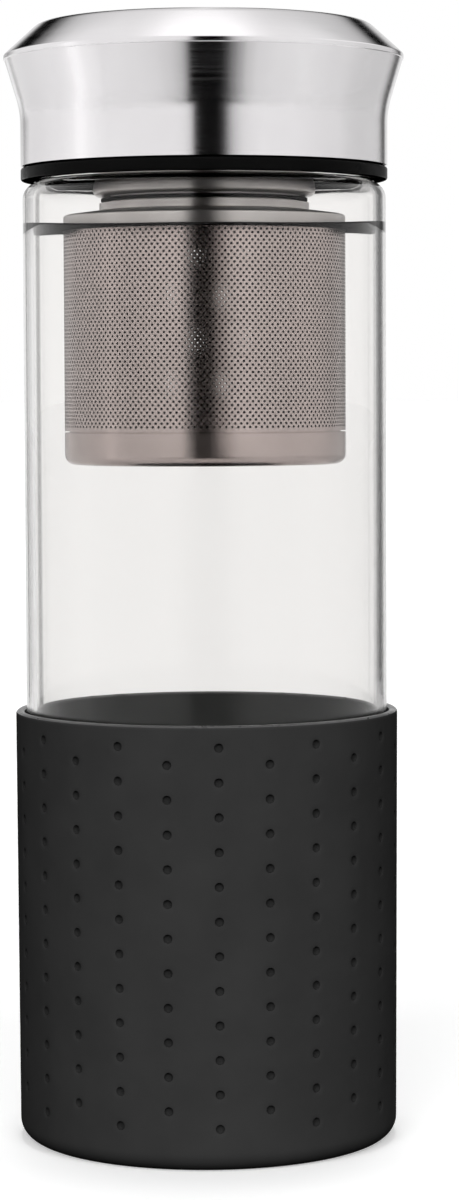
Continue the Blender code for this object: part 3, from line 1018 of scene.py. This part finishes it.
def steel(name, slot, dark, light, rough_low, rough_high, anisotropy):
    """Return stainless steel with fine turning marks and slight stains."""
    material, nodes, links, shader = shader_of(name, slot)
    where = nodes.new("ShaderNodeTexCoord")
    rings = turned_coordinates(nodes, links)
    fine = noise_range(nodes, links, rings, TURNING_SCALE, 2, 0, 1)
    stains = noise_range(nodes, links, where.outputs["Object"], STAIN_SCALE, 4, 0, 1)
    rough = noise_range(nodes, links, rings, STREAK_SCALE, 3, rough_low, rough_high)
    links.new(tinted(nodes, links, stains, dark, light), shader.inputs["Base Color"])
    links.new(rough, shader.inputs["Roughness"])
    marks = bumped(nodes, links, fine, TURNING_BUMP, TURNING_HEIGHT)
    links.new(marks, shader.inputs["Normal"])
    shader.inputs["Metallic"].default_value = 1
    shader.inputs["Anisotropic"].default_value = anisotropy
    shader.inputs["Anisotropic Rotation"].default_value = 0.25
    tangent = nodes.new("ShaderNodeTangent")
    tangent.direction_type = "RADIAL"
    tangent.axis = "Z"
    links.new(tangent.outputs[0], shader.inputs["Tangent"])
    return material


def moulded(name, slot, dark, light, rough_low, rough_high, specular, grain, bump):
    """Return a moulded plastic or silicone with a fine grain."""
    material, nodes, links, shader = shader_of(name, slot)
    where = nodes.new("ShaderNodeTexCoord").outputs["Object"]
    patches = noise_range(nodes, links, where, PATCH_SCALE, 4, 0, 1)
    rough = noise_range(nodes, links, where, SHEEN_SCALE, 3, rough_low, rough_high)
    fine = noise_range(nodes, links, where, grain, 2, 0, 1)
    links.new(tinted(nodes, links, patches, dark, light), shader.inputs["Base Color"])
    links.new(rough, shader.inputs["Roughness"])
    links.new(bumped(nodes, links, fine, bump, GRAIN_HEIGHT), shader.inputs["Normal"])
    shader.inputs["Specular IOR Level"].default_value = specular
    return material


def clear_glass(name):
    """Return clear glass that lets the lamps' light through."""
    material, nodes, links, shader = shader_of(name)
    shader.inputs["Base Color"].default_value = GLASS_COLOUR
    shader.inputs["Roughness"].default_value = 0
    shader.inputs["IOR"].default_value = GLASS_IOR
    shader.inputs["Specular Tint"].default_value = GLASS_MIRROR_TINT
    shader.inputs["Transmission Weight"].default_value = 1
    path = nodes.new("ShaderNodeLightPath")
    clear = nodes.new("ShaderNodeBsdfTransparent")
    clear.inputs["Color"].default_value = GLASS_SHADOW_COLOUR
    mix = nodes.new("ShaderNodeMixShader")
    links.new(path.outputs["Is Shadow Ray"], mix.inputs["Fac"])
    links.new(shader.outputs[0], mix.inputs[1])
    links.new(clear.outputs[0], mix.inputs[2])
    links.new(mix.outputs[0], nodes["Material Output"].inputs["Surface"])
    return material


def sees_background(nodes, links):
    """Return a socket that is 1 for the rays that show the background, and 0 for light."""
    path = nodes.new("ShaderNodeLightPath")
    total = path.outputs["Is Camera Ray"]
    for name in ("Is Glossy Ray", "Is Transmission Ray"):
        join = nodes.new("ShaderNodeMath")
        join.operation = "MAXIMUM"
        links.new(total, join.inputs[0])
        links.new(path.outputs[name], join.inputs[1])
        total = join.outputs[0]
    return total


def make_world():
    """Make a white surround whose light on the object is plain."""
    world = bpy.data.worlds.new("white_surround")
    bpy.context.scene.world = world
    world.use_nodes = True
    nodes = world.node_tree.nodes
    links = world.node_tree.links
    nodes.clear()
    seen = nodes.new("ShaderNodeBackground")
    seen.inputs["Strength"].default_value = 1
    light = nodes.new("ShaderNodeBackground")
    light.inputs["Strength"].default_value = WORLD_LIGHT
    mix = nodes.new("ShaderNodeMixShader")
    output = nodes.new("ShaderNodeOutputWorld")
    for background in (seen, light):
        background.inputs["Color"].default_value = (1, 1, 1, 1)
    links.new(sees_background(nodes, links), mix.inputs["Fac"])
    links.new(light.outputs[0], mix.inputs[1])
    links.new(seen.outputs[0], mix.inputs[2])
    links.new(mix.outputs[0], output.inputs["Surface"])


def make_floor():
    """Make the white floor, which keeps the shadow of the bottle."""
    mesh = bpy.data.meshes.new("floor")
    corners = [(-1, -1), (1, -1), (1, 1), (-1, 1)]
    points = [(x * FLOOR_REACH, y * FLOOR_REACH, 0) for x, y in corners]
    mesh.from_pydata(points, [], [(0, 1, 2, 3)])
    floor = bpy.data.objects.new("floor", mesh)
    bpy.context.scene.collection.objects.link(floor)
    material, nodes, links, shader = shader_of("white_floor")
    nodes.remove(shader)
    diffuse = nodes.new("ShaderNodeBsdfDiffuse")
    colour = tinted(nodes, links, sees_background(nodes, links), FLOOR_LIT, FLOOR_SEEN)
    links.new(colour, diffuse.inputs["Color"])
    glow = nodes.new("ShaderNodeEmission")
    glow.inputs["Color"].default_value = (1, 1, 1, 1)
    add = nodes.new("ShaderNodeAddShader")
    level = nodes.new("ShaderNodeMath")
    level.operation = "MULTIPLY"
    level.inputs[1].default_value = FLOOR_GLOW
    links.new(sees_background(nodes, links), level.inputs[0])
    dimmer = nodes.new("ShaderNodeMath")
    dimmer.operation = "MULTIPLY_ADD"
    dimmer.inputs[1].default_value = MIRRORED_GLOW_CHANGE
    path = nodes.new("ShaderNodeLightPath")
    links.new(path.outputs["Is Glossy Ray"], dimmer.inputs[0])
    links.new(level.outputs[0], dimmer.inputs[2])
    links.new(dimmer.outputs[0], glow.inputs["Strength"])
    links.new(diffuse.outputs[0], add.inputs[0])
    links.new(glow.outputs[0], add.inputs[1])
    links.new(add.outputs[0], nodes["Material Output"].inputs["Surface"])
    mesh.materials.append(material)


def make_card(name, turns, path, brightness, seen_by="mirror"):
    """Make a soft-edged studio card that only some rays see.

    turns holds (degrees from the front towards +X, weight) columns, and path holds
    (distance, height, weight) rows. brightness is the card's own, 0 for a black one.
    seen_by is "mirror" for reflections, "inside" for reflections in pieces behind the glass,
    and "glass" for rays through the glass.
    """
    points = []
    weights = []
    for degrees, column_weight in turns:
        turn = math.radians(degrees)
        for distance, height, row_weight in path:
            points.append((distance * math.sin(turn), -distance * math.cos(turn), height))
            weights.append(column_weight * row_weight)
    count = len(path)
    faces = []
    for column in range(len(turns) - 1):
        for row in range(count - 1):
            corner = column * count + row
            faces.append((corner, corner + 1, corner + count + 1, corner + count))
    mesh = bpy.data.meshes.new(name)
    mesh.from_pydata(points, [], faces)
    layer = mesh.attributes.new("card_weight", "FLOAT", "POINT")
    layer.data.foreach_set("value", weights)
    card = bpy.data.objects.new(name, mesh)
    bpy.context.scene.collection.objects.link(card)
    card.visible_camera = False
    card.visible_diffuse = False
    card.visible_shadow = False
    card.visible_glossy = seen_by != "glass"
    material, nodes, links, shader = shader_of(name)
    nodes.remove(shader)
    weight = nodes.new("ShaderNodeAttribute")
    weight.attribute_name = "card_weight"
    factor = weight.outputs["Fac"]
    bounces = nodes.new("ShaderNodeLightPath")
    for depth, test, level in CARD_TESTS[seen_by]:
        passes = nodes.new("ShaderNodeMath")
        passes.operation = test
        passes.inputs[1].default_value = level
        seen = nodes.new("ShaderNodeMath")
        seen.operation = "MULTIPLY"
        links.new(bounces.outputs[depth], passes.inputs[0])
        links.new(passes.outputs[0], seen.inputs[0])
        links.new(factor, seen.inputs[1])
        factor = seen.outputs[0]
    clear = nodes.new("ShaderNodeBsdfTransparent")
    face = nodes.new("ShaderNodeEmission")
    face.inputs["Strength"].default_value = brightness
    mix = nodes.new("ShaderNodeMixShader")
    links.new(factor, mix.inputs["Fac"])
    links.new(clear.outputs[0], mix.inputs[1])
    links.new(face.outputs[0], mix.inputs[2])
    links.new(mix.outputs[0], nodes["Material Output"].inputs["Surface"])
    mesh.materials.append(material)


def card_path(distance, levels, floor_rows=()):
    """Return the rows of a card that lies on the floor, if it does, and then stands up."""
    lying = [(reach, CARD_FOOT, weight) for reach, weight in floor_rows]
    return lying + [(distance, *row) for row in levels]


def make_cards():
    """Make the dark and bright cards that the steel and the glass reflect."""
    upright = card_path(INNER_DISTANCE, UPRIGHT_LEVELS, FLOOR_ROWS)
    edge = card_path(CARD_DISTANCE, EDGE_LEVELS, EDGE_FLOOR_ROWS)
    disc = [(degrees, 1) for degrees in range(0, 360 + DISC_STEP, DISC_STEP)]
    overhead = [(reach, OVERHEAD_HEIGHT, weight) for reach, weight in OVERHEAD_ROWS]
    low_front = card_path(INNER_DISTANCE, LOW_LEVELS, FLOOR_ROWS)
    basket_flag = card_path(BASKET_FLAG_DISTANCE, BASKET_LEVELS)
    basket_gleam = card_path(BASKET_GLEAM_DISTANCE, BASKET_LEVELS)
    make_card("front_flag", FRONT_TURNS, card_path(CARD_DISTANCE, FRONT_LEVELS), 0)
    make_card("low_front_flag", LOW_TURNS, low_front, 0)
    make_card("left_rear_flag", LEFT_REAR_TURNS, card_path(CARD_DISTANCE, LEFT_LEVELS), 0)
    make_card("right_rear_flag", RIGHT_REAR_TURNS, card_path(CARD_DISTANCE, RIGHT_LEVELS), 0)
    make_card("left_gleam", LEFT_GLEAM_TURNS, upright, LEFT_GLEAM)
    make_card("right_shade", RIGHT_SHADE_TURNS, upright, 0)
    make_card("left_shade", LEFT_SHADE_TURNS, upright, 0)
    make_card("right_gap", RIGHT_GAP_TURNS, upright, 0)
    make_card("left_gap", LEFT_GAP_TURNS, upright, 0)
    make_card("overhead_gleam", disc, overhead, OVERHEAD_GLEAM)
    make_card("left_edge_flag", LEFT_EDGE_TURNS, edge, 0, "glass")
    make_card("right_edge_flag", RIGHT_EDGE_TURNS, edge, 0, "glass")
    make_card("basket_flag", BASKET_FLAG_TURNS, basket_flag, 0, "inside")
    make_card("basket_gleam", BASKET_GLEAM_TURNS, basket_gleam, BASKET_GLEAM, "inside")


def make_sun(name, azimuth, elevation, strength, spread):
    """Make a wide soft lamp with no falloff; azimuth runs from the front towards +X."""
    data = bpy.data.lights.new(name, "SUN")
    data.energy = strength * math.pi
    data.angle = spread
    lamp = bpy.data.objects.new(name, data)
    turn = math.radians(azimuth)
    rise = math.radians(elevation)
    away = Vector((
        math.sin(turn) * math.cos(rise),
        -math.cos(turn) * math.cos(rise),
        math.sin(rise),
    ))
    lamp.location = away
    lamp.rotation_euler = away.to_track_quat("Z", "Y").to_euler()
    lamp.visible_camera = False
    lamp.visible_glossy = False
    lamp.visible_transmission = False
    bpy.context.scene.collection.objects.link(lamp)


def make_camera():
    """Make the camera at the photograph's height and distance."""
    data = bpy.data.cameras.new("camera")
    data.lens = CAMERA_LENS
    data.sensor_width = CAMERA_SENSOR
    data.clip_start = CLIP_START
    data.clip_end = CLIP_END
    camera = bpy.data.objects.new("camera", data)
    camera.location = (CAMERA_OFFSET, -CAMERA_DISTANCE, CAMERA_HEIGHT)
    tilt = Matrix.Rotation(math.pi / 2 - CAMERA_PITCH, 4, "X")
    roll = Matrix.Rotation(CAMERA_ROLL, 4, "Z")
    camera.rotation_euler = (tilt @ roll).to_euler()
    bpy.context.scene.collection.objects.link(camera)
    bpy.context.scene.camera = camera


def main():
    """Make the pieces, their materials, the studio and the camera."""
    bpy.context.scene.view_settings.view_transform = "Standard"
    # The pressed and inner steels are darker copies of their steels: their colour is painted shade
    brushed, pressed, basket, inner = [steel(*look) for look in STEELS]
    # The lip silicone is a lighter copy, a painted highlight, and the pit silicone a darker copy,
    # painted shade
    plastic, rim, rubber, silicone, lip, pit_shade = [moulded(*look) for look in MOULDINGS]
    glass = clear_glass("clear_glass")

    make_glass(glass)
    make_sleeve(silicone, lip, pit_shade)
    make_lid_shell(brushed)
    make_lid_liner(plastic, rim)
    make_collar(pressed)
    gasket_bore = mouth_radius - RIM_GASKET_LAP
    make_ring("lid_gasket", "rim_gasket", gasket_bore, RIM_GASKET_EDGE, rubber)
    make_ring(
        "collar_gasket", "infuser_gasket", COLLAR_GASKET_BORE, COLLAR_GASKET_EDGE, rubber
    )
    make_infuser_top(pressed)
    make_ring(
        "basket_seal",
        "infuser_seal",
        wall_radius + SEAT_GAP,
        SEAL_EDGE,
        rubber,
        SEAL_SPREAD,
        SEAL_LIP,
        SEAL_LIFT,
        SEAL_TAB,
    )
    make_basket_mesh(basket, inner)
    make_basket_foot(basket)
    make_basket_plate(basket)

    make_world()
    make_floor()
    for lamp in LAMPS:
        make_sun(*lamp)
    make_cards()
    make_camera()


main()
